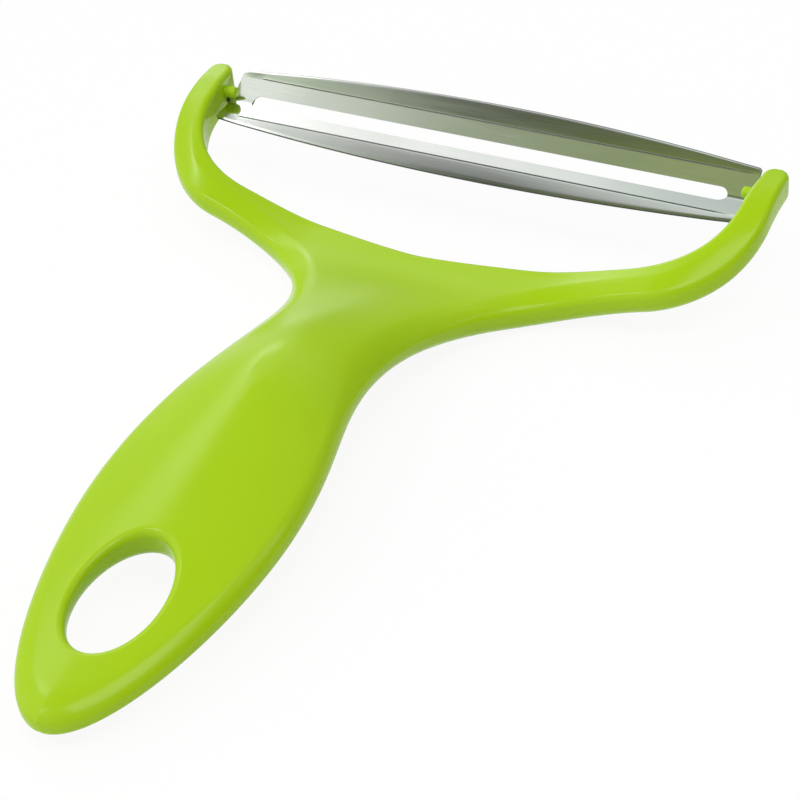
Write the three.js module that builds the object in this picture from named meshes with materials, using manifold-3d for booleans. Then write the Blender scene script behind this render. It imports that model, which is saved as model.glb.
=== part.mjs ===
import * as THREE from 'three';
import { mergeVertices } from 'three/addons/utils/BufferGeometryUtils.js';
import Module from 'manifold-3d';

const wasm = await Module();
wasm.setup();

// Sizes of the whole peeler, in millimetres and degrees.
// While it is drawn, y = 0 and z = 0 are the line through both stop pegs.
const OVERALL_LENGTH = 159.4;
const YOKE_WIDTH = 124;
const ARM_END_AHEAD = 5.3;

// Grip, seen from above
const BELLY_HALF = 18.7;
const BELLY_FROM_TIP = 46.8;
const BELLY_STRETCH = 18.9;
const NECK_HALF = 13.4;
const NECK_FROM_TIP = 89.4;
const NECK_STRETCH = 17.9;
const TIP_FULLNESS = 10.4;

// Hanging hole
const HOLE_LENGTH = 22.8;
const HOLE_WIDTH = 15;
const HOLE_FROM_TIP = 24.6;
const HOLE_ROUND = 1.3;
const HOLE_UNDER_ROUND = 3;

// Yoke, seen from above
const OPENING_DEPTH = 27.2;
const OPENING_RISE = 5;
const OPENING_SLOPE = 0.113;
const OPENING_FLAT = 6.8;
const OPENING_REACH = 14.4;
const ROOT_WIDTH = 6;
const ARM_WIDTH = 5;
const ARM_LEAN = 0.7;
const ARM_STRAIGHT = 6.8;
const ARM_STRAIGHT_INSIDE = 5;
const CORNER_X = 16.1;
const CORNER_REACH = 7.8;
const CORNER_TURN = 10.8;
const INSIDE_CORNER_X = 22.1;
const INSIDE_CORNER_REACH = 10.3;
const INSIDE_CORNER_TURN = 9.4;
const FLARE_X = 4.5;
const FLARE_Y = 16.5;
const FLARE_SLOPE = 0.145;

// Heights of the middle of the handle's edge, from the peg line
const CREST_LEVEL = -3;
const CREST_FROM_TIP = 66.2;
const CREST_BLEND = 57.7;
const TIP_DROP = 7.8;
const YOKE_LEVEL = -12.1;
const YOKE_LEVEL_HALF = 21.6;
const END_LEVEL = -0.2;
const RISE_SHARE = 0.44;

// Section of the handle
const GRIP_EDGE = 3.9;
const TIP_EDGE = 4.1;
const GRIP_CROWN = 5.5;
const TIP_CROWN = 0.6;
const CROWN_FADE = 19;
const GRIP_ROUND = 1.9;
const ARM_DEPTH = 6.7;
const END_DEPTH = 7;
const ARM_CROWN = 0.3;
const ARM_ROUND = 1;
const NECK_SPREAD = 3.5;
const TIP_SPREAD = 2.5;
const SHOULDER_REACH = 4.2;
const SHOULDER_DROP = 1.6;
const SHOULDER_CURVE = 1.3;
const GRIP_UNDER_ROUND = 1.5;
const ARM_UNDER_ROUND = 3.2;
const INSIDE_UNDER_ROUND = 0.4;
const CAP_SWEEP = 75;

// Stop pegs and pivot sockets in the arms
const PEG_DIAMETER = 2.4;
const PEG_LENGTH = 2.8;
const PEG_ROOT = 1.4;
const PEG_END_ROUND = 0.7;
const PEG_ABOVE_PIVOT = 2.15;
const PEG_LEAN = 15;
const SOCKET_DEPTH = 2.1;
const PIVOT_CLEARANCE = 0.3;
const END_CLEARANCE = 0.5;

// Blade: one stamped strip, folded along two straight lines and along its middle
const SHEET = 0.5;
const BLADE_TILT = 14.6;
const BLADE_MID_WIDTH = 20.2;
const BLADE_END_WIDTH = 13.9;
const FOLD_SPACING = 11.2;
const TROUGH_ANGLE = 16.4;
const FLANGE_ANGLE = 8.5;
const SLOT_WIDTH = 3.5;
const SLOT_END_BAR = 4.7;
const CORNER_CUT = 0.5;
const TONGUE_WIDTH = 1.1;
const PIVOT_ABOVE_FOLD = 0.2;

// How finely the handle's surface is drawn
const AXIS_GATHER = 2.4;
const TIP_SHARE = 0.36;
const FLARE_SHARE = 0.5;
const FLAT_WITHIN = 0.0005;

// Values that follow from the sizes above
const radians = THREE.MathUtils.degToRad;
const tipY = ARM_END_AHEAD - OVERALL_LENGTH;
const bellyY = tipY + BELLY_FROM_TIP;
const neckY = tipY + NECK_FROM_TIP;
const crestY = tipY + CREST_FROM_TIP;
const holeY = tipY + HOLE_FROM_TIP;
const holeLow = holeY - HOLE_LENGTH / 2;
const holeHigh = holeY + HOLE_LENGTH / 2;
const outerX = YOKE_WIDTH / 2;
const innerX = outerX - ARM_WIDTH;
const endRadius = ARM_WIDTH / 2;
const endY = ARM_END_AHEAD - endRadius;
const cornerX = outerX - CORNER_X;
const insideCornerX = outerX - INSIDE_CORNER_X;
const insideCornerY = OPENING_RISE - OPENING_DEPTH;
const cornerY = insideCornerY - ROOT_WIDTH;
const pivotY = PEG_ABOVE_PIVOT * Math.sin(radians(PEG_LEAN));
const pivotZ = -PEG_ABOVE_PIVOT * Math.cos(radians(PEG_LEAN));
const pegRadius = PEG_DIAMETER / 2;
const troughSlope = Math.tan(radians(TROUGH_ANGLE));
const flangeSlope = Math.tan(radians(FLANGE_ANGLE));

const flat = (x, y) => new THREE.Vector2(x, y);
const bezier = (a, b, c, d) => new THREE.CubicBezierCurve(a, b, c, d);
const smooth = (a, b, x) => THREE.MathUtils.smoothstep(x, a, b);
const mix = THREE.MathUtils.lerp;

// Right half of the handle's outline: tip, belly, neck, yoke, corner, arm
const tipCurve = bezier(
  flat(0, tipY),
  flat(TIP_FULLNESS, tipY),
  flat(BELLY_HALF, bellyY - BELLY_STRETCH),
  flat(BELLY_HALF, bellyY),
);
const sideCurve = bezier(
  flat(BELLY_HALF, bellyY),
  flat(BELLY_HALF, bellyY + NECK_STRETCH),
  flat(NECK_HALF, neckY - NECK_STRETCH),
  flat(NECK_HALF, neckY),
);
const flareX = NECK_HALF + FLARE_X;
const flareCurve = bezier(
  flat(NECK_HALF, neckY),
  flat(NECK_HALF, neckY + FLARE_Y),
  flat(flareX, cornerY - FLARE_SLOPE * (cornerX - flareX)),
  flat(cornerX, cornerY),
);
const cornerCurve = bezier(
  flat(cornerX, cornerY),
  flat(cornerX + CORNER_REACH, cornerY + FLARE_SLOPE * CORNER_REACH),
  flat(outerX, -ARM_STRAIGHT - CORNER_TURN),
  flat(outerX, -ARM_STRAIGHT),
);
const armOut = new THREE.LineCurve(flat(outerX, -ARM_STRAIGHT), flat(outerX, endY));

// Right half of the yoke opening
const armRootX = innerX - ARM_LEAN;
const openingCurve = bezier(
  flat(0, -OPENING_DEPTH),
  flat(OPENING_FLAT, -OPENING_DEPTH),
  flat(insideCornerX - OPENING_REACH, insideCornerY - OPENING_SLOPE * OPENING_REACH),
  flat(insideCornerX, insideCornerY),
);
const insideCurve = bezier(
  flat(insideCornerX, insideCornerY),
  flat(insideCornerX + INSIDE_CORNER_REACH, insideCornerY + OPENING_SLOPE * INSIDE_CORNER_REACH),
  flat(armRootX, -ARM_STRAIGHT_INSIDE - INSIDE_CORNER_TURN),
  flat(armRootX, -ARM_STRAIGHT_INSIDE),
);
const armIn = new THREE.LineCurve(flat(armRootX, -ARM_STRAIGHT_INSIDE), flat(innerX, endY));

// Inner edge and outer edge run side by side, joined by ribs
const even = (t) => t;
const gatherLow = (t) => t ** AXIS_GATHER;
const gatherHigh = (t) => 1 - (1 - t) ** AXIS_GATHER;
const onAxis = (a, b, gather) => (t) => flat(0, mix(a, b, gather(t)));
const along = (curve, a, b) => (t) => curve.getPoint(mix(a, b, t));
const holeRim = (t) => {
  const angle = Math.PI * (t - 0.5);
  return flat((HOLE_WIDTH / 2) * Math.cos(angle), holeY + (HOLE_LENGTH / 2) * Math.sin(angle));
};
const cap = (side) => (t) => {
  const angle = radians(CAP_SWEEP) * t;
  const reach = side * endRadius * Math.cos(angle);
  return flat(outerX - endRadius + reach, endY + endRadius * Math.sin(angle));
};
const tipStart = mix(tipY, holeLow, 0.8);
const sections = [
  { ribs: 8, inner: onAxis(tipStart, holeLow, even), outer: along(tipCurve, 0, TIP_SHARE) },
  { ribs: 20, inner: holeRim, outer: along(tipCurve, TIP_SHARE, 1), edge: 'hole' },
  { ribs: 11, inner: onAxis(holeHigh, neckY, gatherLow), outer: along(sideCurve, 0, 1) },
  { ribs: 11, inner: onAxis(neckY, -OPENING_DEPTH, gatherHigh), outer: along(flareCurve, 0, FLARE_SHARE) },
  { ribs: 13, inner: along(openingCurve, 0, 1), outer: along(flareCurve, FLARE_SHARE, 1), edge: 'opening' },
  { ribs: 12, inner: along(insideCurve, 0, 1), outer: along(cornerCurve, 0, 1), edge: 'opening' },
  { ribs: 6, inner: along(armIn, 0, 1), outer: along(armOut, 0, 1), edge: 'opening' },
  { ribs: 5, inner: cap(-1), outer: cap(1), edge: 'opening' },
];

function distanceTo(path, point) {
  let best = Infinity;
  for (let i = 1; i < path.length; i += 1) {
    const a = path[i - 1];
    const b = path[i];
    const dx = b.x - a.x;
    const dy = b.y - a.y;
    const t = ((point.x - a.x) * dx + (point.y - a.y) * dy) / (dx * dx + dy * dy);
    const s = Math.min(1, Math.max(0, t));
    best = Math.min(best, Math.hypot(a.x + s * dx - point.x, a.y + s * dy - point.y));
  }
  return best;
}

// Top and underside of the handle before rounding, and how crowned and round it is there
function levels(x, y) {
  const arm = smooth(crestY, crestY + CREST_BLEND, y);
  const towardsTip = (crestY - y) / CREST_FROM_TIP;
  const towardsEnd = smooth(-OPENING_DEPTH, 0, y);
  const grip = CREST_LEVEL - TIP_DROP * towardsTip;
  const climb = RISE_SHARE * smooth(YOKE_LEVEL_HALF, innerX, x) + (1 - RISE_SHARE) * towardsEnd;
  const middle = mix(grip, mix(YOKE_LEVEL, END_LEVEL, climb), arm);
  const gripDepth = mix(GRIP_EDGE, TIP_EDGE, towardsTip);
  const depth = mix(gripDepth, mix(ARM_DEPTH, END_DEPTH, towardsEnd), arm);
  const gripCrown = mix(GRIP_CROWN, TIP_CROWN, smooth(0, neckY - tipY, neckY - y));
  const round = mix(GRIP_ROUND, ARM_ROUND, arm);
  const spread = NECK_SPREAD * 4 * arm * (1 - arm) + TIP_SPREAD * Math.max(0, towardsTip) ** 2;
  return {
    top: middle + depth / 2,
    bottom: middle - depth / 2,
    crown: mix(gripCrown, ARM_CROWN, arm),
    round,
    roundReach: round + spread,
    shoulder: SHOULDER_DROP * arm * (1 - towardsEnd),
    underRound: mix(GRIP_UNDER_ROUND, ARM_UNDER_ROUND, arm),
  };
}

// How far an edge rounding of that reach and height lies below the face at a distance from the edge
const nearness = (reach, distance) => Math.min(1, Math.max(0, 1 - distance / reach));
const drop = (reach, height, distance) => height * (1 - Math.sqrt(1 - nearness(reach, distance) ** 2));

// Places across a rib: close together at both rounded edges, even between them
const EDGE_PLACES = [0, 0.06, 0.22, 0.55, 1];
const MIDDLE_PLACES = [0.2, 0.4, 0.6, 0.8];
const across = 2 * EDGE_PLACES.length + MIDDLE_PLACES.length;
function places(length) {
  const radius = Math.min(Math.max(GRIP_ROUND, ARM_UNDER_ROUND), 0.46 * length);
  const near = EDGE_PLACES.map((share) => share * radius);
  const inside = MIDDLE_PLACES.map((share) => mix(radius, length - radius, share));
  const far = near.map((distance) => length - distance).reverse();
  return [...near, ...inside, ...far].map((distance) => distance / length);
}

function handleBody() {
  const ribs = [];
  sections.forEach((part, k) => {
    for (let i = k === 0 ? 0 : 1; i <= part.ribs; i += 1) {
      const t = i / part.ribs;
      ribs.push({ inner: part.inner(t), outer: part.outer(t), edge: part.edge });
    }
  });
  const edgeOf = (name) => ribs.filter((rib) => rib.edge === name).map((rib) => rib.inner);
  const outline = [...ribs.map((rib) => rib.outer), ribs[ribs.length - 1].inner];
  const hole = [holeRim(0), ...edgeOf('hole')];
  const opening = [flat(0, -OPENING_DEPTH), ...edgeOf('opening')];

  const position = [];
  const index = [];
  const add = (x, y, z) => position.push(x, y, z) / 3 - 1;
  const grid = { 1: { top: [], bottom: [] }, '-1': { top: [], bottom: [] } };
  ribs.forEach((rib) => {
    const rows = { 1: { top: [], bottom: [] }, '-1': { top: [], bottom: [] } };
    places(rib.inner.distanceTo(rib.outer)).forEach((v) => {
      const point = rib.inner.clone().lerp(rib.outer, v);
      const level = levels(point.x, point.y);
      const toOutline = distanceTo(outline, point);
      const toOpening = distanceTo(opening, point);
      const toHole = distanceTo(hole, point);
      const halfWidth = point.x + toOutline;
      const fromAxis = halfWidth > 0 ? point.x / halfWidth : 1;
      const crown = level.crown * (1 - fromAxis ** 2) * smooth(0, CROWN_FADE, toOpening);
      const shoulder = level.shoulder * nearness(SHOULDER_REACH, toOutline) ** SHOULDER_CURVE;
      const roundEdge = Math.max(
        drop(level.roundReach, level.round, toOutline) + shoulder,
        drop(level.round, level.round, toOpening),
      );
      const roundTop = roundEdge + drop(HOLE_ROUND, HOLE_ROUND, toHole);
      const roundUnder = Math.max(
        drop(level.underRound, level.underRound, toOutline),
        drop(INSIDE_UNDER_ROUND, INSIDE_UNDER_ROUND, toOpening),
        drop(HOLE_UNDER_ROUND, HOLE_UNDER_ROUND, toHole),
      );
      [1, -1].forEach((side) => {
        const x = point.x === 0 ? 0 : side * point.x;
        rows[side].top.push(add(x, point.y, level.top + crown - roundTop));
        rows[side].bottom.push(add(x, point.y, level.bottom + roundUnder));
      });
    });
    [1, -1].forEach((side) => {
      grid[side].top.push(rows[side].top);
      grid[side].bottom.push(rows[side].bottom);
    });
  });

  const last = across - 1;
  const end = ribs.length - 1;
  [1, -1].forEach((side) => {
    const { top, bottom } = grid[side];
    const face = (a, b, c) => (side > 0 ? index.push(a, b, c) : index.push(a, c, b));
    for (let i = 1; i < ribs.length; i += 1) {
      for (let j = 1; j < across; j += 1) {
        face(top[i - 1][j - 1], top[i - 1][j], top[i][j - 1]);
        face(top[i - 1][j], top[i][j], top[i][j - 1]);
        face(bottom[i - 1][j - 1], bottom[i][j - 1], bottom[i - 1][j]);
        face(bottom[i - 1][j], bottom[i][j - 1], bottom[i][j]);
      }
      face(top[i - 1][last], bottom[i - 1][last], top[i][last]);
      face(bottom[i - 1][last], bottom[i][last], top[i][last]);
      if (ribs[i].edge) {
        face(top[i - 1][0], top[i][0], bottom[i - 1][0]);
        face(bottom[i - 1][0], top[i][0], bottom[i][0]);
      }
    }
    for (let j = 1; j < across; j += 1) {
      face(top[end][j - 1], top[end][j], bottom[end][j - 1]);
      face(top[end][j], bottom[end][j], bottom[end][j - 1]);
    }
  });
  const body = new THREE.BufferGeometry();
  body.setAttribute('position', new THREE.Float32BufferAttribute(position, 3));
  body.setIndex(index);
  return body;
}

function solid(geometry) {
  geometry.deleteAttribute('normal');
  geometry.deleteAttribute('uv');
  const joined = mergeVertices(geometry, 1e-4);
  return new wasm.Manifold(new wasm.Mesh({
    numProp: 3,
    vertProperties: new Float32Array(joined.attributes.position.array),
    triVerts: new Uint32Array(joined.index.array),
  }));
}

function geometryOf(manifold) {
  const mesh = manifold.getMesh();
  const geometry = new THREE.BufferGeometry();
  geometry.setAttribute('position', new THREE.Float32BufferAttribute(mesh.vertProperties, 3));
  geometry.setIndex(new THREE.Uint32BufferAttribute(mesh.triVerts, 1));
  geometry.computeVertexNormals();
  return geometry;
}

// A stop peg points inwards from each arm, with a rounded end
function peg(side) {
  const length = PEG_ROOT + PEG_LENGTH;
  const profile = [flat(0, 0), flat(pegRadius, 0)];
  for (let i = 0; i <= 6; i += 1) {
    const angle = (Math.PI / 2) * (i / 6);
    const radius = pegRadius - PEG_END_ROUND * (1 - Math.cos(angle));
    profile.push(flat(radius, length - PEG_END_ROUND * (1 - Math.sin(angle))));
  }
  profile.push(flat(0, length));
  const geometry = new THREE.LatheGeometry(profile, 32);
  geometry.rotateZ((side * Math.PI) / 2);
  geometry.translate(side * (innerX + PEG_ROOT), 0, 0);
  return geometry;
}

// The blade's end tongues turn in blind round sockets below the pegs
const halfSheet = SHEET / 2 / Math.cos(radians(TROUGH_ANGLE));
const tongueTop = (TONGUE_WIDTH / 2) * troughSlope + halfSheet - PIVOT_ABOVE_FOLD;
const tongueBottom = PIVOT_ABOVE_FOLD + halfSheet;
const tongueReach = Math.hypot(TONGUE_WIDTH / 2, Math.max(tongueTop, tongueBottom));
function socket(side) {
  const radius = tongueReach + PIVOT_CLEARANCE;
  const lead = ARM_LEAN + 2;
  const geometry = new THREE.CylinderGeometry(radius, radius, SOCKET_DEPTH + lead, 40);
  geometry.rotateZ(Math.PI / 2);
  geometry.translate(side * (innerX + (SOCKET_DEPTH - lead) / 2), pivotY, pivotZ);
  return geometry;
}

let handle = solid(handleBody());
[1, -1].forEach((side) => {
  handle = handle.subtract(solid(socket(side))).add(solid(peg(side)));
});
handle = handle.asOriginal().simplify(FLAT_WITHIN);

// Blade drawn flat: x along it, y across it, z away from the trough
const bladeHalf = armRootX - END_CLEARANCE;
const foldY = FOLD_SPACING / 2;
const foldZ = foldY * troughSlope;
function bladeSection() {
  const reachY = BLADE_MID_WIDTH / 2 + 2;
  const reachZ = foldZ + (reachY - foldY) * flangeSlope;
  const middle = [
    flat(-reachY, reachZ),
    flat(-foldY, foldZ),
    flat(0, 0),
    flat(foldY, foldZ),
    flat(reachY, reachZ),
  ];
  const offset = (distance) => middle.map((point, i) => {
    const before = i > 0 ? point.clone().sub(middle[i - 1]).normalize() : null;
    const after = i < middle.length - 1 ? middle[i + 1].clone().sub(point).normalize() : null;
    const first = before ?? after;
    const second = after ?? before;
    const mean = first.clone().add(second).normalize();
    const normal = flat(-mean.y, mean.x);
    const stretch = distance / Math.abs(normal.dot(flat(-first.y, first.x)));
    return point.clone().addScaledVector(normal, stretch);
  });
  return new THREE.Shape([...offset(-SHEET / 2), ...offset(SHEET / 2).reverse()]);
}

// Both long edges are bowed; a tongue stands out of each end
function bladeOutline() {
  const shape = new THREE.Shape();
  const tongueX = innerX + SOCKET_DEPTH - PIVOT_CLEARANCE;
  const tongueY = TONGUE_WIDTH / 2;
  const endHalf = BLADE_END_WIDTH / 2;
  const bowY = endHalf + ((BLADE_MID_WIDTH - BLADE_END_WIDTH) * 2) / 3;
  const third = bladeHalf / 3;
  const cutX = bladeHalf - CORNER_CUT;
  const cutY = endHalf - CORNER_CUT;
  shape.moveTo(-tongueX, -tongueY);
  shape.lineTo(-bladeHalf, -tongueY);
  shape.lineTo(-bladeHalf, -cutY);
  shape.lineTo(-cutX, -endHalf);
  shape.bezierCurveTo(-third, -bowY, third, -bowY, cutX, -endHalf);
  shape.lineTo(bladeHalf, -cutY);
  shape.lineTo(bladeHalf, -tongueY);
  shape.lineTo(tongueX, -tongueY);
  shape.lineTo(tongueX, tongueY);
  shape.lineTo(bladeHalf, tongueY);
  shape.lineTo(bladeHalf, cutY);
  shape.lineTo(cutX, endHalf);
  shape.bezierCurveTo(third, bowY, -third, bowY, -cutX, endHalf);
  shape.lineTo(-bladeHalf, cutY);
  shape.lineTo(-bladeHalf, tongueY);
  shape.lineTo(-tongueX, tongueY);
  shape.closePath();
  const slot = new THREE.Path();
  const slotX = bladeHalf - SLOT_END_BAR - SLOT_WIDTH / 2;
  slot.absarc(slotX, 0, SLOT_WIDTH / 2, -Math.PI / 2, Math.PI / 2, false);
  slot.absarc(-slotX, 0, SLOT_WIDTH / 2, Math.PI / 2, (3 * Math.PI) / 2, false);
  slot.closePath();
  shape.holes.push(slot);
  return shape;
}

function bladeBody() {
  const length = 2 * (innerX + SOCKET_DEPTH + 1);
  const folded = new THREE.ExtrudeGeometry(bladeSection(), { depth: length, bevelEnabled: false });
  folded.rotateX(Math.PI / 2);
  folded.rotateZ(Math.PI / 2);
  folded.translate(-length / 2, 0, 0);
  const tall = 4 * (foldZ + 1);
  const stamped = new THREE.ExtrudeGeometry(bladeOutline(), {
    depth: tall,
    bevelEnabled: false,
    curveSegments: 24,
  });
  stamped.translate(0, 0, -tall / 4);
  const body = geometryOf(solid(folded).intersect(solid(stamped)));
  body.translate(0, 0, -PIVOT_ABOVE_FOLD);
  body.rotateX(radians(BLADE_TILT));
  body.translate(0, pivotY, pivotZ);
  return body;
}

const plastic = new THREE.MeshStandardMaterial({ color: 0xa5cd2a, roughness: 0.28, metalness: 0 });
const steel = new THREE.MeshStandardMaterial({ color: 0xc9ccc8, roughness: 0.22, metalness: 1 });
plastic.name = 'lime_plastic';
steel.name = 'stainless_steel';

const handleMesh = new THREE.Mesh(geometryOf(handle), plastic);
handleMesh.name = 'handle_frame';
const bladeMesh = new THREE.Mesh(bladeBody(), steel);
bladeMesh.name = 'blade';

// The peeler stands on its lowest points, with the middle of its box over the origin
const peeler = new THREE.Group();
peeler.name = 'vegetable_peeler';
peeler.add(handleMesh, bladeMesh);
const box = new THREE.Box3().setFromObject(peeler);
const middle = box.getCenter(new THREE.Vector3());
[handleMesh, bladeMesh].forEach((mesh) => {
  mesh.geometry.translate(-middle.x, -middle.y, -box.min.z);
});

export default peeler;
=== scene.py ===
import math

import bmesh
import bpy
import numpy as np
from mathutils import Matrix, Quaternion, Vector


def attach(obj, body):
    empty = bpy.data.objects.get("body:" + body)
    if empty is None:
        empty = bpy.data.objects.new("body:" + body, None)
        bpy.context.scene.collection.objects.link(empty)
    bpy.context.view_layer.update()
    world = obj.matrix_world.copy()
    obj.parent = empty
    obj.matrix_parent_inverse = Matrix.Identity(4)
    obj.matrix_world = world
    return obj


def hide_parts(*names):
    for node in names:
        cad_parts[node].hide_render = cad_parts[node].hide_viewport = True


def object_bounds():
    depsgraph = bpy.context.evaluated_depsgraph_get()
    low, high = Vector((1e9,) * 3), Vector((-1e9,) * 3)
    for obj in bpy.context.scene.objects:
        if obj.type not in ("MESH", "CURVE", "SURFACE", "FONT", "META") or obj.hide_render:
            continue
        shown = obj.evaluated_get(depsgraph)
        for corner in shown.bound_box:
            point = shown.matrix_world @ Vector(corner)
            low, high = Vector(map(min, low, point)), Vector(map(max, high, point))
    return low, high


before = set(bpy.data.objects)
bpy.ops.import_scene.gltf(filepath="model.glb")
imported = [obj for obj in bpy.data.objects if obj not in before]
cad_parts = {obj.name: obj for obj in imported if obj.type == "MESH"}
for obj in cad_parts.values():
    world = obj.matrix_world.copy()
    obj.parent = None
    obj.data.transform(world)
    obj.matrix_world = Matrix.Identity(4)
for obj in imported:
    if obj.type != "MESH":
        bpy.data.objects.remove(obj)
cad_low, cad_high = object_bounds()

# The part's own sizes, in millimetres and degrees, drawn from the line through both stop pegs
MM = 0.001
PEG_LINE = np.array([0.0, 72.12026, 15.45])
OVERALL_LENGTH = 159.4
YOKE_WIDTH = 124
ARM_END_AHEAD = 5.3
BELLY_HALF = 18.7
BELLY_FROM_TIP = 46.8
BELLY_STRETCH = 18.9
NECK_HALF = 13.4
NECK_FROM_TIP = 89.4
NECK_STRETCH = 17.9
TIP_FULLNESS = 10.4
HOLE_LENGTH = 22.8
HOLE_WIDTH = 15
HOLE_FROM_TIP = 24.6
HOLE_ROUND = 1.3
HOLE_UNDER_ROUND = 3
OPENING_DEPTH = 27.2
OPENING_RISE = 5
OPENING_SLOPE = 0.113
OPENING_FLAT = 6.8
OPENING_REACH = 14.4
ROOT_WIDTH = 6
ARM_WIDTH = 5
ARM_LEAN = 0.7
ARM_STRAIGHT = 6.8
ARM_STRAIGHT_INSIDE = 5
CORNER_X = 16.1
CORNER_REACH = 7.8
CORNER_TURN = 10.8
INSIDE_CORNER_X = 22.1
INSIDE_CORNER_REACH = 10.3
INSIDE_CORNER_TURN = 9.4
FLARE_X = 4.5
FLARE_Y = 16.5
FLARE_SLOPE = 0.145
CREST_LEVEL = -3
CREST_FROM_TIP = 66.2
CREST_BLEND = 57.7
TIP_DROP = 7.8
YOKE_LEVEL = -12.1
YOKE_LEVEL_HALF = 21.6
END_LEVEL = -0.2
RISE_SHARE = 0.44
GRIP_EDGE = 3.9
TIP_EDGE = 4.1
GRIP_CROWN = 5.5
TIP_CROWN = 0.6
CROWN_FADE = 19
GRIP_ROUND = 1.9
ARM_DEPTH = 6.7
END_DEPTH = 7
ARM_CROWN = 0.3
ARM_ROUND = 1
NECK_SPREAD = 3.5
TIP_SPREAD = 2.5
SHOULDER_REACH = 4.2
SHOULDER_DROP = 1.6
SHOULDER_CURVE = 1.3
GRIP_UNDER_ROUND = 1.5
ARM_UNDER_ROUND = 3.2
INSIDE_UNDER_ROUND = 0.4
CAP_SWEEP = 75
PEG_DIAMETER = 2.4
PEG_LENGTH = 2.8
PEG_ROOT = 1.4
PEG_END_ROUND = 0.7
PEG_ABOVE_PIVOT = 2.15
PEG_LEAN = 15
SOCKET_DEPTH = 2.1
SOCKET_PROUD = 2
PIVOT_CLEARANCE = 0.3
END_CLEARANCE = 0.5
SHEET = 0.5
BLADE_TILT = 14.6
BLADE_MID_WIDTH = 20.2
BLADE_END_WIDTH = 13.9
FOLD_SPACING = 11.2
TROUGH_ANGLE = 16.4
FLANGE_ANGLE = 8.5
SLOT_WIDTH = 3.5
SLOT_END_BAR = 4.7
CORNER_CUT = 0.5
TONGUE_WIDTH = 1.1
PIVOT_ABOVE_FOLD = 0.2

# Spacing of the handle's mesh: shares of a curve or rib, and counts of steps
AXIS_GATHER = 2.4
TIP_SHARE = 0.36
TIP_START_SHARE = 0.8
FLARE_SHARE = 0.5
RIB_EDGE_SHARE = 0.46
EDGE_STEPS = 12
MIDDLE_STEPS = 16
PATH_POINTS = 160
TURNED_STEPS = 48
PEG_ROUND_STEPS = 8

# Sharpest turns that are still shaded as smooth, in degrees
HANDLE_SMOOTH = 38
BLADE_SMOOTH = 30

# Points this near are one: in millimetres while drawing, in metres in the mesh
SAME_POINT = 1e-9
WELD = 2e-7

tip_y = ARM_END_AHEAD - OVERALL_LENGTH
belly_y = tip_y + BELLY_FROM_TIP
neck_y = tip_y + NECK_FROM_TIP
crest_y = tip_y + CREST_FROM_TIP
hole_y = tip_y + HOLE_FROM_TIP
hole_low = hole_y - HOLE_LENGTH / 2
hole_high = hole_y + HOLE_LENGTH / 2
outer_x = YOKE_WIDTH / 2
inner_x = outer_x - ARM_WIDTH
end_radius = ARM_WIDTH / 2
end_y = ARM_END_AHEAD - end_radius
corner_x = outer_x - CORNER_X
inside_corner_x = outer_x - INSIDE_CORNER_X
inside_corner_y = OPENING_RISE - OPENING_DEPTH
corner_y = inside_corner_y - ROOT_WIDTH
arm_root_x = inner_x - ARM_LEAN
flare_x = NECK_HALF + FLARE_X
peg_radius = PEG_DIAMETER / 2
pivot_y = PEG_ABOVE_PIVOT * math.sin(math.radians(PEG_LEAN))
pivot_z = -PEG_ABOVE_PIVOT * math.cos(math.radians(PEG_LEAN))
trough_slope = math.tan(math.radians(TROUGH_ANGLE))
flange_slope = math.tan(math.radians(FLANGE_ANGLE))


def smooth(a, b, x):
    t = np.clip((np.asarray(x, float) - a) / (b - a), 0, 1)
    return t * t * (3 - 2 * t)


def mix(a, b, t):
    return a + (b - a) * t


def bezier(*points):
    a, b, c, d = (np.array(p, float) for p in points)

    def at(t):
        t = np.asarray(t, float)[:, None]
        return a * (1 - t) ** 3 + b * 3 * t * (1 - t) ** 2 + c * 3 * t * t * (1 - t) + d * t ** 3
    return at


def line(a, b):
    a, b = np.array(a, float), np.array(b, float)
    return lambda t: mix(a, b, np.asarray(t, float)[:, None])


# Right half of the handle's outline and of the yoke opening, as in the part's source
tip_curve = bezier((0, tip_y), (TIP_FULLNESS, tip_y),
                   (BELLY_HALF, belly_y - BELLY_STRETCH), (BELLY_HALF, belly_y))
side_curve = bezier((BELLY_HALF, belly_y), (BELLY_HALF, belly_y + NECK_STRETCH),
                    (NECK_HALF, neck_y - NECK_STRETCH), (NECK_HALF, neck_y))
flare_curve = bezier((NECK_HALF, neck_y), (NECK_HALF, neck_y + FLARE_Y),
                     (flare_x, corner_y - FLARE_SLOPE * (corner_x - flare_x)),
                     (corner_x, corner_y))
corner_curve = bezier((corner_x, corner_y),
                      (corner_x + CORNER_REACH, corner_y + FLARE_SLOPE * CORNER_REACH),
                      (outer_x, -ARM_STRAIGHT - CORNER_TURN), (outer_x, -ARM_STRAIGHT))
arm_out = line((outer_x, -ARM_STRAIGHT), (outer_x, end_y))
opening_curve = bezier((0, -OPENING_DEPTH), (OPENING_FLAT, -OPENING_DEPTH),
                       (inside_corner_x - OPENING_REACH,
                        inside_corner_y - OPENING_SLOPE * OPENING_REACH),
                       (inside_corner_x, inside_corner_y))
inside_curve = bezier((inside_corner_x, inside_corner_y),
                      (inside_corner_x + INSIDE_CORNER_REACH,
                       inside_corner_y + OPENING_SLOPE * INSIDE_CORNER_REACH),
                      (arm_root_x, -ARM_STRAIGHT_INSIDE - INSIDE_CORNER_TURN),
                      (arm_root_x, -ARM_STRAIGHT_INSIDE))
arm_in = line((arm_root_x, -ARM_STRAIGHT_INSIDE), (inner_x, end_y))


def on_axis(a, b, gather):
    return lambda t: np.stack([np.zeros_like(t), mix(a, b, gather(t))], 1)


def part_of(curve, a, b):
    return lambda t: curve(mix(a, b, t))


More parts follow.
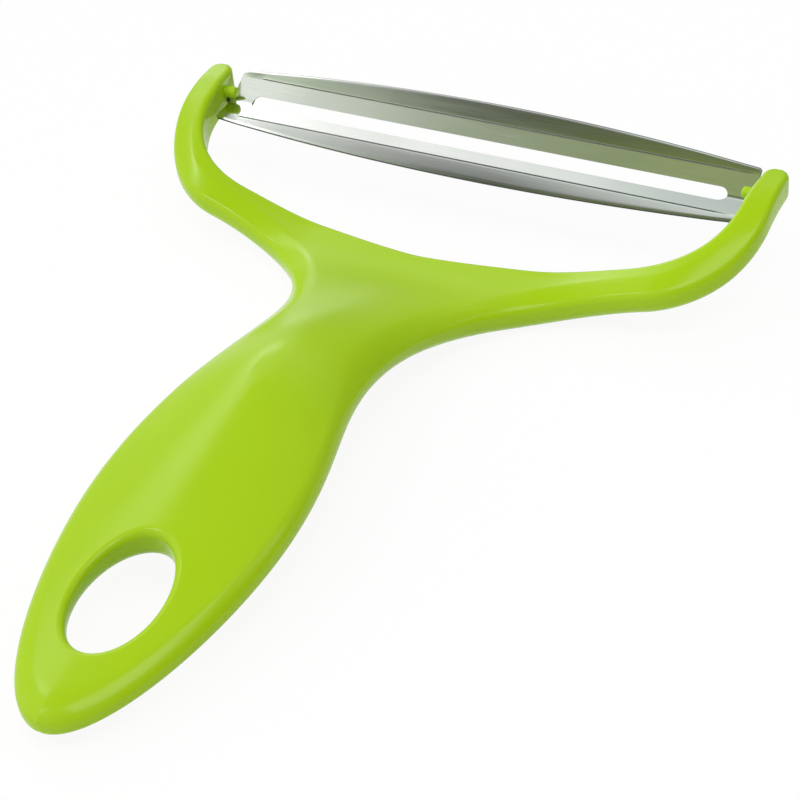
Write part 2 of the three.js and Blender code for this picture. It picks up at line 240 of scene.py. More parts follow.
def hole_rim(t):
    angle = math.pi * (np.asarray(t) - 0.5)
    return np.stack([HOLE_WIDTH / 2 * np.cos(angle),
                     hole_y + HOLE_LENGTH / 2 * np.sin(angle)], 1)


def cap(side):
    """Rounded end of the arm, on its outer (1) or inner (-1) side."""
    def at(t):
        angle = math.radians(CAP_SWEEP) * np.asarray(t)
        return np.stack([outer_x - end_radius + side * end_radius * np.cos(angle),
                         end_y + end_radius * np.sin(angle)], 1)
    return at


def even(t):
    return t


def gather_low(t):
    return t ** AXIS_GATHER


def gather_high(t):
    return 1 - (1 - t) ** AXIS_GATHER


# Stretches of ribs: how many, where they start, where they end, and the open edge they start from
tip_start = mix(tip_y, hole_low, TIP_START_SHARE)
SECTIONS = [
    (30, on_axis(tip_start, hole_low, even), part_of(tip_curve, 0, TIP_SHARE), None),
    (64, hole_rim, part_of(tip_curve, TIP_SHARE, 1), "hole"),
    (40, on_axis(hole_high, neck_y, gather_low), side_curve, None),
    (40, on_axis(neck_y, -OPENING_DEPTH, gather_high), part_of(flare_curve, 0, FLARE_SHARE), None),
    (40, opening_curve, part_of(flare_curve, FLARE_SHARE, 1), "opening"),
    (40, inside_curve, corner_curve, "opening"),
    (16, arm_in, arm_out, "opening"),
    (14, cap(-1), cap(1), "opening"),
]


def distance_to(path, points):
    """Least distance from each point to a line of points, in the plane."""
    a, d = path[:-1], np.diff(path, axis=0)
    rel = points[:, None, :] - a[None]
    t = np.clip((rel * d[None]).sum(2) / (d * d).sum(1)[None], 0, 1)
    return np.sqrt(((rel - t[..., None] * d[None]) ** 2).sum(2)).min(1)


def without_repeats(path):
    return path[np.r_[True, np.abs(np.diff(path, axis=0)).sum(1) > SAME_POINT]]


def soft_least(a, b):
    """About the lesser of two distances, with no ridge where both are alike."""
    return a * b / np.maximum(np.hypot(a, b), SAME_POINT)


def levels(x, y):
    """Top and underside before rounding, the crown, the edge roundings and the shoulder's drop."""
    arm = smooth(crest_y, crest_y + CREST_BLEND, y)
    towards_tip = (crest_y - y) / CREST_FROM_TIP
    towards_end = smooth(-OPENING_DEPTH, 0, y)
    grip = CREST_LEVEL - TIP_DROP * towards_tip
    climb = RISE_SHARE * smooth(YOKE_LEVEL_HALF, inner_x, x) + (1 - RISE_SHARE) * towards_end
    middle = mix(grip, mix(YOKE_LEVEL, END_LEVEL, climb), arm)
    grip_depth = mix(GRIP_EDGE, TIP_EDGE, towards_tip)
    depth = mix(grip_depth, mix(ARM_DEPTH, END_DEPTH, towards_end), arm)
    grip_crown = mix(GRIP_CROWN, TIP_CROWN, smooth(0, neck_y - tip_y, neck_y - y))
    edge_round = mix(GRIP_ROUND, ARM_ROUND, arm)
    spread = NECK_SPREAD * 4 * arm * (1 - arm) + TIP_SPREAD * np.maximum(0, towards_tip) ** 2
    return dict(top=middle + depth / 2, under=middle - depth / 2,
                crown=mix(grip_crown, ARM_CROWN, arm),
                round=edge_round, round_reach=edge_round + spread,
                shoulder=SHOULDER_DROP * arm * (1 - towards_end),
                under_round=mix(GRIP_UNDER_ROUND, ARM_UNDER_ROUND, arm))


def nearness(reach, distance):
    """1 on the edge, 0 from the given reach on."""
    return np.clip(1 - distance / reach, 0, 1)


def drop(reach, height, distance):
    """How far a rounding of the given reach and height lowers the surface."""
    return height * (1 - np.sqrt(1 - nearness(reach, distance) ** 2))


def places(length):
    """Places across ribs: even steps round both edge roundings, even steps between them."""
    radius = np.minimum(max(GRIP_ROUND, ARM_UNDER_ROUND), RIB_EDGE_SHARE * length)[:, None]
    turn = np.linspace(0, math.pi / 2, EDGE_STEPS + 1)[None]
    near = radius * (1 - np.cos(turn))
    share = np.linspace(0, 1, MIDDLE_STEPS + 1)[1:-1][None]
    inside = mix(radius, length[:, None] - radius, share)
    far = (length[:, None] - near)[:, ::-1]
    return np.concatenate([near, inside, far], 1) / length[:, None]


def handle_grid():
    """Right half in ribs: points x, y, heights of top and underside, and which ribs start open."""
    inner, outer, starts_open = [], [], []
    for k, (ribs, make_inner, make_outer, edge) in enumerate(SECTIONS):
        t = np.linspace(0, 1, ribs + 1)[0 if k == 0 else 1:]
        inner.append(make_inner(t))
        outer.append(make_outer(t))
        starts_open += [edge is not None] * len(t)
    inner, outer = np.concatenate(inner), np.concatenate(outer)
    fine = np.linspace(0, 1, PATH_POINTS)
    outline = np.concatenate([make_outer(fine) for _, _, make_outer, _ in SECTIONS] + [inner[-1:]])
    outline = without_repeats(outline)
    opening = np.concatenate([make(fine) for _, make, _, edge in SECTIONS if edge == "opening"])
    opening = without_repeats(opening)
    v = places(np.linalg.norm(outer - inner, axis=1))
    points = inner[:, None] + (outer - inner)[:, None] * v[..., None]
    flat = points.reshape(-1, 2)
    level = levels(flat[:, 0], flat[:, 1])
    to_outline = soft_least(distance_to(outline, flat), distance_to(outline * (-1, 1), flat))
    to_opening = distance_to(opening, flat)
    to_hole = distance_to(hole_rim(fine), flat)
    from_axis = flat[:, 0] / np.maximum(flat[:, 0] + to_outline, SAME_POINT)
    bulge = level["crown"] * (1 - from_axis ** 2) * smooth(0, CROWN_FADE, to_opening)
    shoulder = level["shoulder"] * nearness(SHOULDER_REACH, to_outline) ** SHOULDER_CURVE
    round_edge = np.maximum(drop(level["round_reach"], level["round"], to_outline) + shoulder,
                            drop(level["round"], level["round"], to_opening))
    round_under = np.maximum(drop(level["under_round"], level["under_round"], to_outline),
                             drop(INSIDE_UNDER_ROUND, INSIDE_UNDER_ROUND, to_opening))
    hole_under = drop(HOLE_UNDER_ROUND, HOLE_UNDER_ROUND, to_hole)
    top = level["top"] + bulge - round_edge - drop(HOLE_ROUND, HOLE_ROUND, to_hole)
    under = level["under"] + np.maximum(round_under, hole_under)
    return points, top.reshape(v.shape), under.reshape(v.shape), starts_open


def mesh_object(name, vertices, faces):
    mesh = bpy.data.meshes.new(name)
    mesh.from_pydata([tuple(p) for p in vertices], [], faces)
    bm = bmesh.new()
    bm.from_mesh(mesh)
    bmesh.ops.remove_doubles(bm, verts=bm.verts, dist=WELD)
    bmesh.ops.dissolve_degenerate(bm, dist=WELD, edges=bm.edges)
    bmesh.ops.recalc_face_normals(bm, faces=bm.faces)
    bm.to_mesh(mesh)
    bm.free()
    obj = bpy.data.objects.new(name, mesh)
    bpy.context.scene.collection.objects.link(obj)
    return obj


def placed(points):
    """Drawn millimetres to the part's frame in metres, kept inside the CAD box."""
    metres = (np.asarray(points, float) + PEG_LINE) * MM
    return np.clip(metres, np.array(cad_low), np.array(cad_high))


def shell_faces(base, ribs, across, starts_open, ends):
    """Faces of an upper and a lower grid of ribs, with walls between the two.

    The walls run along the outer edge, along the inner edge where ribs start open, and across
    the given end ribs.
    """
    def at(layer, i, j):
        return base + (layer * ribs + i) * across + j

    faces = []
    last = across - 1
    for i in range(1, ribs):
        for j in range(1, across):
            for layer in (0, 1):
                faces.append((at(layer, i - 1, j - 1), at(layer, i - 1, j),
                              at(layer, i, j), at(layer, i, j - 1)))
        faces.append((at(0, i - 1, last), at(1, i - 1, last), at(1, i, last), at(0, i, last)))
        if starts_open[i]:
            faces.append((at(0, i - 1, 0), at(0, i, 0), at(1, i, 0), at(1, i - 1, 0)))
    for i in ends:
        for j in range(1, across):
            faces.append((at(0, i, j - 1), at(0, i, j), at(1, i, j), at(1, i, j - 1)))
    return faces


def handle_object():
    points, top, under, starts_open = handle_grid()
    ribs, across = top.shape
    vertices, faces = [], []
    for side in (1, -1):
        faces += shell_faces(len(vertices), ribs, across, starts_open, (ribs - 1,))
        for z in (top, under):
            grid = np.stack([side * points[..., 0], points[..., 1], z], 2)
            vertices.extend(grid.reshape(-1, 3))
    return mesh_object("handle_moulding", placed(vertices), faces)


def turned(name, profile, side, centre):
    """A round body about X: profile is (distance inwards from the arm, radius)."""
    steps = TURNED_STEPS
    vertices, faces = [], []
    for reach, radius in profile:
        for k in range(steps):
            angle = 2 * math.pi * k / steps
            vertices.append((centre[0] - side * reach,
                             centre[1] + radius * math.cos(angle),
                             centre[2] + radius * math.sin(angle)))
    for i in range(1, len(profile)):
        for k in range(steps):
            m = (k + 1) % steps
            faces.append(((i - 1) * steps + k, (i - 1) * steps + m, i * steps + m, i * steps + k))
    faces.append(tuple(range(steps)))
    faces.append(tuple(range((len(profile) - 1) * steps, len(profile) * steps)))
    return mesh_object(name, placed(vertices), faces)


def boolean(obj, other, operation):
    modifier = obj.modifiers.new("cut", "BOOLEAN")
    modifier.operation = operation
    modifier.solver = "EXACT"
    modifier.object = other
    bpy.context.view_layer.update()
    depsgraph = bpy.context.evaluated_depsgraph_get()
    made = bpy.data.meshes.new_from_object(obj.evaluated_get(depsgraph))
    obj.modifiers.remove(modifier)
    old = obj.data
    obj.data = made
    bpy.data.meshes.remove(old)
    bpy.data.objects.remove(other)


def smooth_shade(obj, angle):
    mesh = obj.data
    mesh.shade_smooth()
    mesh.set_sharp_from_angle(angle=math.radians(angle))


handle = handle_object()
half_sheet = SHEET / 2 / math.cos(math.radians(TROUGH_ANGLE))
tongue_top = TONGUE_WIDTH / 2 * trough_slope + half_sheet - PIVOT_ABOVE_FOLD
tongue_bottom = PIVOT_ABOVE_FOLD + half_sheet
tongue_radius = math.hypot(TONGUE_WIDTH / 2, max(tongue_top, tongue_bottom))
socket_radius = tongue_radius + PIVOT_CLEARANCE
socket_profile = [(-SOCKET_DEPTH, socket_radius), (ARM_LEAN + SOCKET_PROUD, socket_radius)]
peg_profile = [(-PEG_ROOT, peg_radius)]
for k in range(PEG_ROUND_STEPS + 1):
    angle = math.pi / 2 * k / PEG_ROUND_STEPS
    peg_profile.append((PEG_LENGTH - PEG_END_ROUND * (1 - math.sin(angle)),
                        peg_radius - PEG_END_ROUND * (1 - math.cos(angle))))
for side in (1, -1):
    socket = turned("socket", socket_profile, side, (side * inner_x, pivot_y, pivot_z))
    boolean(handle, socket, "DIFFERENCE")
    peg = turned("peg", peg_profile, side, (side * inner_x, 0, 0))
    boolean(handle, peg, "UNION")
smooth_shade(handle, HANDLE_SMOOTH)
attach(handle, "handle")
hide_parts("handle_frame")

# Blade: folded sheet with soft bends, a pressed step along each fold and ground edges
BEND_HALF = 0.55
FLANGE_CURVE = 0.06
CREASE_DEPTH = 0.09
CREASE_WALL = 0.42
CREASE_END = 50.6
CREASE_FADE = 5.0
EDGE_GRIND = 0.55
SLOT_GRIND = 0.9
GROUND_THICKNESS = 0.12
FAR_EDGE_SHARE = 0.8
NEAR_EDGE_SHARE = 0.35
TONGUE_ROOT = 0.4
TONGUE_TIP_CUT = 0.25
TONGUE_TIP_SHARE = 0.7
TONGUE_TIP_THIN = 0.4
TONGUE_HALF = 0.48 * SHEET

# Spacing of the blade's mesh: counts of steps, and rows as shares from the slot to the long edge
HEIGHT_POINTS = 2400
HEIGHT_PAST_EDGE = 1
EDGE_POINTS = 400
SLOT_STEPS = 73
SLOT_END_STEPS = 12
END_BAR_STEPS = 9
CUT_STEPS = 3
TONGUE_POINTS = 9
ROW_STOPS = (0, 0.08, 0.42, 0.62, 0.94, 1)
ROW_STEPS = (4, 7, 30, 7, 4)
FOLD_MARGIN = 0.75
EDGE_MARGIN = 0.25
SLOPE_STEP = 1e-3
ON_MIDDLE = 1e-6
NO_SLOT = 9

blade_half = arm_root_x - END_CLEARANCE
cut_x = blade_half - CORNER_CUT
fold_y = FOLD_SPACING / 2
slot_half = SLOT_WIDTH / 2
slot_x = blade_half - SLOT_END_BAR - slot_half
slot_end_x = slot_x + slot_half
mid_half = BLADE_MID_WIDTH / 2
end_half = BLADE_END_WIDTH / 2
edge_bow = end_half + (BLADE_MID_WIDTH - BLADE_END_WIDTH) * 2 / 3
tongue_x = inner_x + SOCKET_DEPTH - PIVOT_CLEARANCE
blade_tilt = math.radians(BLADE_TILT)


def sheet_height(u, x):
    """Height of the sheet's middle over the trough's lowest line, at distance u from it."""
    fine = np.linspace(0, mid_half + HEIGHT_PAST_EDGE, HEIGHT_POINTS)
    slope = trough_slope * smooth(0, BEND_HALF, fine)
    flange = flange_slope + FLANGE_CURVE * (0.5 - (fine - fold_y) / (mid_half - fold_y))
    slope = mix(slope, flange, smooth(fold_y - BEND_HALF, fold_y + BEND_HALF, fine))
    height = np.r_[0, np.cumsum((slope[1:] + slope[:-1]) / 2 * np.diff(fine))]
    height = height + (fold_y * trough_slope - np.interp(fold_y, fine, height))
    crease = CREASE_DEPTH * smooth(fold_y - CREASE_WALL, fold_y, u)
    fade = smooth(-CREASE_END - CREASE_FADE, -CREASE_END, -np.abs(x))
    return np.interp(u, fine, height) - crease * fade


def outline_half(x):
    """Half the blade's width at x: bowed long edges, with a small cut at the corners."""
    bowed = bezier((-cut_x, end_half), (-blade_half / 3, edge_bow),
                   (blade_half / 3, edge_bow), (cut_x, end_half))
    edge = bowed(np.linspace(0, 1, EDGE_POINTS))
    width = np.interp(x, edge[:, 0], edge[:, 1])
    return np.where(np.abs(x) > cut_x, end_half - (np.abs(x) - cut_x), width)


def blade_columns():
    """Places along the blade, close together round the slot's ends and at the corner cuts."""
    turn = np.linspace(0, math.pi / 2, SLOT_END_STEPS + 1)
    right = np.concatenate([np.linspace(0, slot_x, SLOT_STEPS + 1)[:-1],
                            slot_x + slot_half * np.sin(turn),
                            np.linspace(slot_end_x, cut_x, END_BAR_STEPS + 1)[1:],
                            np.linspace(cut_x, blade_half, CUT_STEPS + 1)[1:]])
    return np.concatenate([-right[:0:-1], right])


def blade_rows(wide, open_half):
    """Places across half the blade for each column; the rows at the fold keep their place."""
    parts = [np.zeros(1)]
    for a, b, steps in zip(ROW_STOPS, ROW_STOPS[1:], ROW_STEPS):
        parts.append(np.linspace(a, b, steps + 1)[1:])
    parts = np.concatenate(parts)
    stops = [0, ROW_STOPS[2], ROW_STOPS[3], 1]
    rows = np.empty((len(wide), len(parts)))
    for i, (edge, slot) in enumerate(zip(wide, open_half)):
        past_fold = min(fold_y + FOLD_MARGIN, edge - EDGE_MARGIN)
        rows[i] = np.interp(parts, stops, [slot, fold_y - FOLD_MARGIN, past_fold, edge])
    return rows


def blade_object():
    x = blade_columns()
    over = np.clip(np.abs(x) - slot_x, 0, slot_half)
    open_half = np.sqrt(np.maximum(slot_half ** 2 - over ** 2, 0))
    open_half[np.abs(x) >= slot_end_x - SAME_POINT] = 0
    wide = outline_half(x)
    u = blade_rows(wide, open_half)
    columns, rows = u.shape
    xx = np.repeat(x[:, None], rows, 1)
    middle = sheet_height(u, xx)
    above, below = u + SLOPE_STEP, np.maximum(u - SLOPE_STEP, 0)
    slope = (sheet_height(above, xx) - sheet_height(below, xx)) / (above - below)
    slope[u < ON_MIDDLE] = 0
    length = np.sqrt(1 + slope ** 2)
    normal_u, normal_z = -slope / length, 1 / length
    to_edge = wide[:, None] - u
    to_slot = np.where(open_half[:, None] > 0, u - open_half[:, None], NO_SLOT)
    off_edge = nearness(EDGE_GRIND, to_edge) * (SHEET - GROUND_THICKNESS)
    off_slot = nearness(SLOT_GRIND, to_slot) * (SHEET - GROUND_THICKNESS)
    has_slot = open_half > 0
    starts_open = np.r_[False, has_slot[1:] | has_slot[:-1]]
    vertices, faces = [], []
    for side, edge_share in ((1, FAR_EDGE_SHARE), (-1, NEAR_EDGE_SHARE)):
        faces += shell_faces(len(vertices), columns, rows, starts_open, (0, columns - 1))
        for offset in (SHEET / 2 - off_edge * edge_share, -SHEET / 2 + off_slot):
            grid = np.stack([xx, side * (u + normal_u * offset), middle + normal_z * offset], 2)
            vertices.extend(grid.reshape(-1, 3))
    # A tongue at each end, as wide as the socket lets it turn
    across = np.linspace(-TONGUE_WIDTH / 2, TONGUE_WIDTH / 2, TONGUE_POINTS)
    stations = ((blade_half - TONGUE_ROOT, 1.0), (tongue_x - TONGUE_TIP_CUT, 1.0),
                (tongue_x, TONGUE_TIP_SHARE))
    always_open = [True] * len(stations)
    tongue_ends = (0, len(stations) - 1)
    for side in (1, -1):
        faces += shell_faces(len(vertices), len(stations), TONGUE_POINTS, always_open, tongue_ends)
        for layer in (1, -1):
            for reach, share in stations:
                along = np.full(TONGUE_POINTS, side * reach)
                height = sheet_height(np.abs(across * share), along)
                half = TONGUE_HALF * mix(1 - TONGUE_TIP_THIN, 1, share)
                vertices.extend(np.stack([along, across * share, height + layer * half], 1))
    x, y, z = np.array(vertices).T
    z = z - PIVOT_ABOVE_FOLD
    tilted_y = y * math.cos(blade_tilt) - z * math.sin(blade_tilt) + pivot_y
    tilted_z = y * math.sin(blade_tilt) + z * math.cos(blade_tilt) + pivot_z
    return mesh_object("blade_strip", placed(np.stack([x, tilted_y, tilted_z], 1)), faces)


blade = blade_object()
smooth_shade(blade, BLADE_SMOOTH)
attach(blade, "blade")
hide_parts("blade")

# Moulded plastic: two near tones, an uneven gloss and a fine grain; noise scales are per metre
PLASTIC_TONES = [(0.3, (0.374, 0.594, 0.008)), (0.7, (0.398, 0.616, 0.012))]
PLASTIC_TONE_SCALE = 28
PLASTIC_TONE_DETAIL = 3
PLASTIC_GLOSS_SCALE = 90
PLASTIC_GLOSS_DETAIL = 4
PLASTIC_GLOSS_SPAN = (0.3, 0.7)
PLASTIC_ROUGHNESS = (0.18, 0.26)
PLASTIC_IOR = 1.5
PLASTIC_SPECULAR = 0.22
GRAIN_SCALE = 2600
GRAIN_DETAIL = 3
GRAIN_STRENGTH = 0.05
GRAIN_HEIGHT = 0.00003

# Ground steel: lines along X, cloudy tones, and rougher sheared edges and pressed lines with
# painted shade
STEEL_TONES = [(0.3, (0.64, 0.66, 0.63)), (0.7, (0.70, 0.72, 0.69))]
STEEL_TONE_SCALE = 60
STEEL_TONE_DETAIL = 3
STEEL_LINES_SPAN = (0.25, 0.75)
STEEL_ROUGHNESS = (0.11, 0.19)
LINES_STRETCH = (60, 5200, 5200)
LINES_DETAIL = 2
LINES_STRENGTH = 0.06
LINES_HEIGHT = 0.00002
# Painted shade on sheared edges and pressed lines: its dark colour; the rougher finish is real
PAINTED_SHADE_COLOUR = (0.10, 0.11, 0.10)
DULL_ROUGHNESS = (0.5, 0.5, 0.5)
SHEARED_FACING = (0.35, 0.7)
# Painted shade along each pressed line: full width, fade width and fade at its ends, in
# millimetres
CREASE_SHADE_CORE = 0.08
CREASE_SHADE_EDGE = 0.24
CREASE_SHADE_END_FADE = 1.0

# White floor: most of what is seen of it, straight or mirrored, is a plain white glow
FLOOR_HALF = 3.0
FLOOR_COLOUR = (0.94, 0.94, 0.94, 1)
FLOOR_ROUGHNESS = 0.9
FLOOR_GLOW = 0.92


def nodes_of(name):
    material = bpy.data.materials.new(name)
    material.use_nodes = True
    tree = material.node_tree
    return material, tree, tree.nodes["Principled BSDF"]


def noise(tree, coordinates, scale, detail, stretch=None):
    node = tree.nodes.new("ShaderNodeTexNoise")
    node.inputs["Scale"].default_value = scale
    node.inputs["Detail"].default_value = detail
    if stretch:
        mapping = tree.nodes.new("ShaderNodeMapping")
        mapping.inputs["Scale"].default_value = stretch
        tree.links.new(coordinates, mapping.inputs["Vector"])
        coordinates = mapping.outputs["Vector"]
    tree.links.new(coordinates, node.inputs["Vector"])
    return node.outputs["Fac"]


def ranged(tree, value, span, result):
    """The value mapped from one span of numbers to another, and held at its ends."""
    node = tree.nodes.new("ShaderNodeMapRange")
    node.inputs["From Min"].default_value, node.inputs["From Max"].default_value = span
    node.inputs["To Min"].default_value, node.inputs["To Max"].default_value = result
    tree.links.new(value, node.inputs["Value"])
    return node.outputs["Result"]


def bump(tree, shader, height, strength, distance):
    node = tree.nodes.new("ShaderNodeBump")
    node.inputs["Strength"].default_value = strength
    node.inputs["Distance"].default_value = distance
    tree.links.new(height, node.inputs["Height"])
    tree.links.new(node.outputs["Normal"], shader.inputs["Normal"])


def ramp(tree, value, stops):
    node = tree.nodes.new("ShaderNodeValToRGB")
    elements = node.color_ramp.elements
    elements[0].position, elements[1].position = stops[0][0], stops[-1][0]
    for place, _ in stops[1:-1]:
        elements.new(place)
    for element, (_, colour) in zip(elements, stops):
        element.color = (*colour, 1)
    tree.links.new(value, node.inputs["Fac"])
    return node.outputs["Color"]


def mixed(tree, share, first, second, blend="MIX"):
    node = tree.nodes.new("ShaderNodeMixRGB")
    node.blend_type = blend
    for socket, value in (("Fac", share), ("Color1", first), ("Color2", second)):
        if isinstance(value, float):
            node.inputs[socket].default_value = value
        elif isinstance(value, tuple):
            node.inputs[socket].default_value = (*value, 1)
        else:
            tree.links.new(value, node.inputs[socket])
    return node.outputs["Color"]


def math_node(tree, operation, first, second=None):
    node = tree.nodes.new("ShaderNodeMath")
    node.operation = operation
    for socket, value in zip(node.inputs, (first, second)):
        if isinstance(value, float):
            socket.default_value = value
        elif value is not None:
            tree.links.new(value, socket)
    return node.outputs[0]


def away_from(tree, value, place):
    return math_node(tree, "ABSOLUTE", math_node(tree, "SUBTRACT", value, place))


def axes_of(tree, vector):
    node = tree.nodes.new("ShaderNodeSeparateXYZ")
    tree.links.new(vector, node.inputs["Vector"])
    return node.outputs


def lime_plastic():
    material, tree, shader = nodes_of("lime_plastic_moulded")
    place = tree.nodes.new("ShaderNodeTexCoord").outputs["Object"]
    tone = noise(tree, place, PLASTIC_TONE_SCALE, PLASTIC_TONE_DETAIL)
    tree.links.new(ramp(tree, tone, PLASTIC_TONES), shader.inputs["Base Color"])
    gloss = noise(tree, place, PLASTIC_GLOSS_SCALE, PLASTIC_GLOSS_DETAIL)
    roughness = ranged(tree, gloss, PLASTIC_GLOSS_SPAN, PLASTIC_ROUGHNESS)
    tree.links.new(roughness, shader.inputs["Roughness"])
    grain = noise(tree, place, GRAIN_SCALE, GRAIN_DETAIL)
    bump(tree, shader, grain, GRAIN_STRENGTH, GRAIN_HEIGHT)
    shader.inputs["IOR"].default_value = PLASTIC_IOR
    shader.inputs["Specular IOR Level"].default_value = PLASTIC_SPECULAR
    return material


def crease_painted_shade(tree, place):
    """Painted shade in the pressed line along each fold: 1 on the line, 0 away from it."""
    across = tree.nodes.new("ShaderNodeVectorMath")
    across.operation = "DOT_PRODUCT"
    axis = np.array([0, math.cos(blade_tilt), math.sin(blade_tilt)])
    across.inputs[1].default_value = axis
    tree.links.new(place, across.inputs[0])
    pivot = (np.array([0, pivot_y, pivot_z]) + PEG_LINE) * MM
    from_middle = away_from(tree, across.outputs["Value"], float(axis @ pivot))
    from_line = away_from(tree, from_middle, (fold_y - CREASE_WALL / 2) * MM)
    on_shaded_line = ranged(tree, from_line, (CREASE_SHADE_CORE * MM, CREASE_SHADE_EDGE * MM), (1.0, 0.0))
    along = math_node(tree, "ABSOLUTE", axes_of(tree, place)["X"])
    ends = (CREASE_END * MM, (CREASE_END + CREASE_SHADE_END_FADE) * MM)
    return math_node(tree, "MULTIPLY", on_shaded_line, ranged(tree, along, ends, (1.0, 0.0)))


def ground_steel():
    """Lengthwise ground faces; sheared edges and pressed lines are rougher and carry painted
    shade.
    """
    material, tree, shader = nodes_of("stainless_steel_ground")
    coordinates = tree.nodes.new("ShaderNodeTexCoord")
    place = coordinates.outputs["Object"]
    lines = noise(tree, place, 1, LINES_DETAIL, LINES_STRETCH)
    cloud = noise(tree, place, STEEL_TONE_SCALE, STEEL_TONE_DETAIL)
    upright = math_node(tree, "ABSOLUTE", axes_of(tree, coordinates.outputs["Normal"])["Z"])
    sheared = ranged(tree, upright, SHEARED_FACING, (1.0, 0.0))
    # Painted shade: sheared edges and pressed lines take a dark colour as well as a rougher finish
    dull_and_shaded = math_node(tree, "MAXIMUM", sheared, crease_painted_shade(tree, place))
    colour = mixed(tree, dull_and_shaded, ramp(tree, cloud, STEEL_TONES), PAINTED_SHADE_COLOUR)
    tree.links.new(colour, shader.inputs["Base Color"])
    roughness = ranged(tree, lines, STEEL_LINES_SPAN, STEEL_ROUGHNESS)
    roughness = mixed(tree, dull_and_shaded, roughness, DULL_ROUGHNESS)
    tree.links.new(roughness, shader.inputs["Roughness"])
    bump(tree, shader, lines, LINES_STRENGTH, LINES_HEIGHT)
    shader.inputs["Metallic"].default_value = 1.0
    return material


def white_floor():
    """White ground that keeps a trace of the peeler's shadow."""
    material, tree, shader = nodes_of("white_floor")
    shader.inputs["Base Color"].default_value = FLOOR_COLOUR
    shader.inputs["Roughness"].default_value = FLOOR_ROUGHNESS
    glow = tree.nodes.new("ShaderNodeEmission")
    rays = tree.nodes.new("ShaderNodeLightPath").outputs
    seen = math_node(tree, "MAXIMUM", rays["Is Camera Ray"], rays["Is Glossy Ray"])
    blend = tree.nodes.new("ShaderNodeMixShader")
    tree.links.new(math_node(tree, "MULTIPLY", seen, FLOOR_GLOW), blend.inputs["Fac"])
    tree.links.new(shader.outputs["BSDF"], blend.inputs[1])
    tree.links.new(glow.outputs["Emission"], blend.inputs[2])
    tree.links.new(blend.outputs["Shader"], tree.nodes["Material Output"].inputs["Surface"])
    return material


floor = mesh_object("floor", [(-FLOOR_HALF, -FLOOR_HALF, 0), (FLOOR_HALF, -FLOOR_HALF, 0),
                              (FLOOR_HALF, FLOOR_HALF, 0), (-FLOOR_HALF, FLOOR_HALF, 0)],
                    [(0, 1, 2, 3)])
for obj, material in ((handle, lime_plastic()), (blade, ground_steel()), (floor, white_floor())):
    obj.data.materials.clear()
    obj.data.materials.append(material)

# Studio round the peeler: bands of light from front to back, for its left, middle and right
SKY_LEFT = [
    (0.00, (0.95, 0.95, 0.95)), (0.30, (1.05, 1.05, 1.03)), (0.4425, (1.18, 1.19, 1.17)),
    (0.48, (1.02, 1.08, 0.96)), (0.53, (0.70, 0.82, 0.60)), (0.65, (0.70, 0.73, 0.67)),
    (0.80, (0.86, 0.88, 0.86)), (0.84, (1.00, 1.00, 1.00)), (0.88, (1.22, 1.22, 1.20)),
    (0.935, (0.40, 0.40, 0.40)), (1.00, (0.30, 0.30, 0.30))]
SKY_MIDDLE = [
    (0.00, (0.95, 0.95, 0.95)), (0.25, (0.80, 0.81, 0.78)), (0.33, (0.44, 0.48, 0.38)),
    (0.4425, (0.34, 0.40, 0.265)), (0.48, (0.22, 0.27, 0.15)), (0.53, (0.12, 0.14, 0.08)),
    (0.57, (0.08, 0.085, 0.065)), (0.70, (0.09, 0.10, 0.08)), (0.78, (0.14, 0.15, 0.14)),
    (0.81, (0.26, 0.27, 0.26)), (0.84, (0.62, 0.63, 0.62)), (0.87, (1.30, 1.30, 1.30)),
    (0.90, (1.20, 1.20, 1.20)), (0.935, (0.32, 0.32, 0.32)), (1.00, (0.25, 0.25, 0.25))]
SKY_RIGHT = [
    (0.00, (0.90, 0.90, 0.90)), (0.25, (0.76, 0.78, 0.72)), (0.33, (0.38, 0.46, 0.22)),
    (0.4425, (0.32, 0.40, 0.14)), (0.48, (0.27, 0.34, 0.10)), (0.53, (0.20, 0.265, 0.06)),
    (0.57, (0.15, 0.19, 0.06)), (0.64, (0.16, 0.20, 0.08)), (0.72, (0.36, 0.38, 0.35)),
    (0.80, (0.66, 0.67, 0.66)), (0.88, (1.03, 1.14, 1.10)), (0.935, (0.32, 0.32, 0.32)),
    (1.00, (0.25, 0.25, 0.25))]
# Shade over all of it from left to right, and where one set of bands passes into the next
SKY_SHADE = [
    (0.00, (1, 1, 1)), (0.42, (1, 1, 1)), (0.52, (0.75, 0.75, 0.75)), (0.68, (0.40, 0.40, 0.40)),
    (1.00, (0.34, 0.34, 0.34))]
LEFT_TO_MIDDLE = (0.255, 0.295)
MIDDLE_TO_RIGHT = (0.31, 0.345)
WHOLE_SPAN = (-1.0, 1.0)
SHARE = (0.0, 1.0)


def studio():
    world = bpy.data.worlds.new("studio")
    world.use_nodes = True
    tree = world.node_tree
    axes = axes_of(tree, tree.nodes.new("ShaderNodeTexCoord").outputs["Generated"])
    to_back = ranged(tree, axes["Y"], WHOLE_SPAN, SHARE)
    to_right = ranged(tree, axes["X"], WHOLE_SPAN, SHARE)
    left, middle, right = (ramp(tree, to_back, sky) for sky in (SKY_LEFT, SKY_MIDDLE, SKY_RIGHT))
    sky = mixed(tree, ranged(tree, to_right, LEFT_TO_MIDDLE, SHARE), left, middle)
    sky = mixed(tree, ranged(tree, to_right, MIDDLE_TO_RIGHT, SHARE), sky, right)
    sky = mixed(tree, 1.0, sky, ramp(tree, to_right, SKY_SHADE), "MULTIPLY")
    tree.links.new(sky, tree.nodes["Background"].inputs["Color"])
    return world


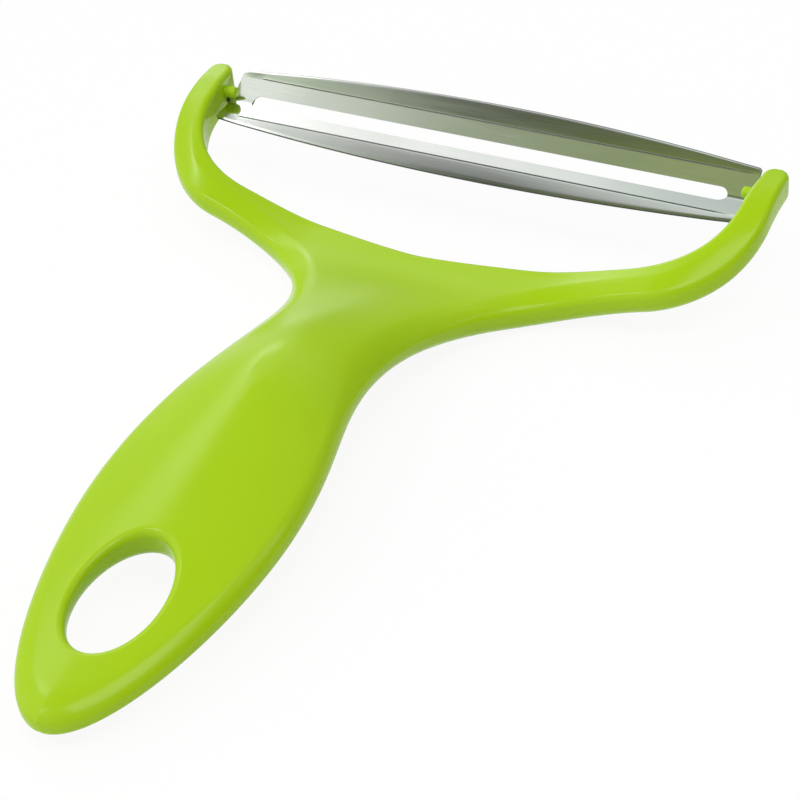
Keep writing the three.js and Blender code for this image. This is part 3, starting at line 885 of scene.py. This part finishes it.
bpy.context.scene.world = studio()

# Lamps that face the peeler: direction, distance and size in metres, roll in degrees, watts
LAMPS = [
    ("softbox", (-0.59, 0.54, 0.60), 1.6, (0.24, 1.15), -37, 2.6),
    ("strip", (-0.425, -0.36, 0.83), 1.6, (0.05, 0.30), 0, 2.2),
    ("spot", (-0.62, 0.12, 0.775), 1.2, (0.08, 0.08), 0, 0.6),
    ("rim", (0.66, 0.31, 0.68), 1.2, (0.06, 0.60), 0, 0.8),
    ("top", (0.26, -0.16, 0.98), 1.03, (0.60, 0.60), 0, 4.3),
]
for name, direction, distance, size, roll, power in LAMPS:
    data = bpy.data.lights.new(name, "AREA")
    data.shape = "RECTANGLE"
    data.size, data.size_y = size
    data.energy = power
    lamp = bpy.data.objects.new(name, data)
    bpy.context.scene.collection.objects.link(lamp)
    towards = Vector(direction).normalized()
    lamp.location = towards * distance
    lamp.rotation_mode = "QUATERNION"
    lamp.rotation_quaternion = ((-towards).to_track_quat("-Z", "Y")
                                @ Quaternion((0, 0, 1), math.radians(roll)))

# Camera at the photograph's viewing angle: its axes in the part's frame, from the outline fit
FOCAL_PIXELS = 2162.598
FRAME_PIXELS = 800
SENSOR_WIDTH = 36
CAMERA_FROM_PEGS = np.array([167.5799, -316.1665, 224.6916])
RIGHT = Vector((0.886668, 0.453843, -0.088581))
DOWN = Vector((0.225013, -0.590828, -0.774785))
AHEAD = Vector((-0.403967, 0.667045, -0.625989))
camera_data = bpy.data.cameras.new("camera")
camera_data.sensor_width = SENSOR_WIDTH
camera_data.lens = FOCAL_PIXELS / FRAME_PIXELS * SENSOR_WIDTH
camera = bpy.data.objects.new("camera", camera_data)
bpy.context.scene.collection.objects.link(camera)
camera_axes = Matrix((RIGHT, -DOWN, -AHEAD)).transposed().to_4x4()
camera.matrix_world = Matrix.Translation((CAMERA_FROM_PEGS + PEG_LINE) * MM) @ camera_axes
bpy.context.scene.camera = camera

bpy.context.scene.view_settings.view_transform = "Standard"

bpy.context.view_layer.update()
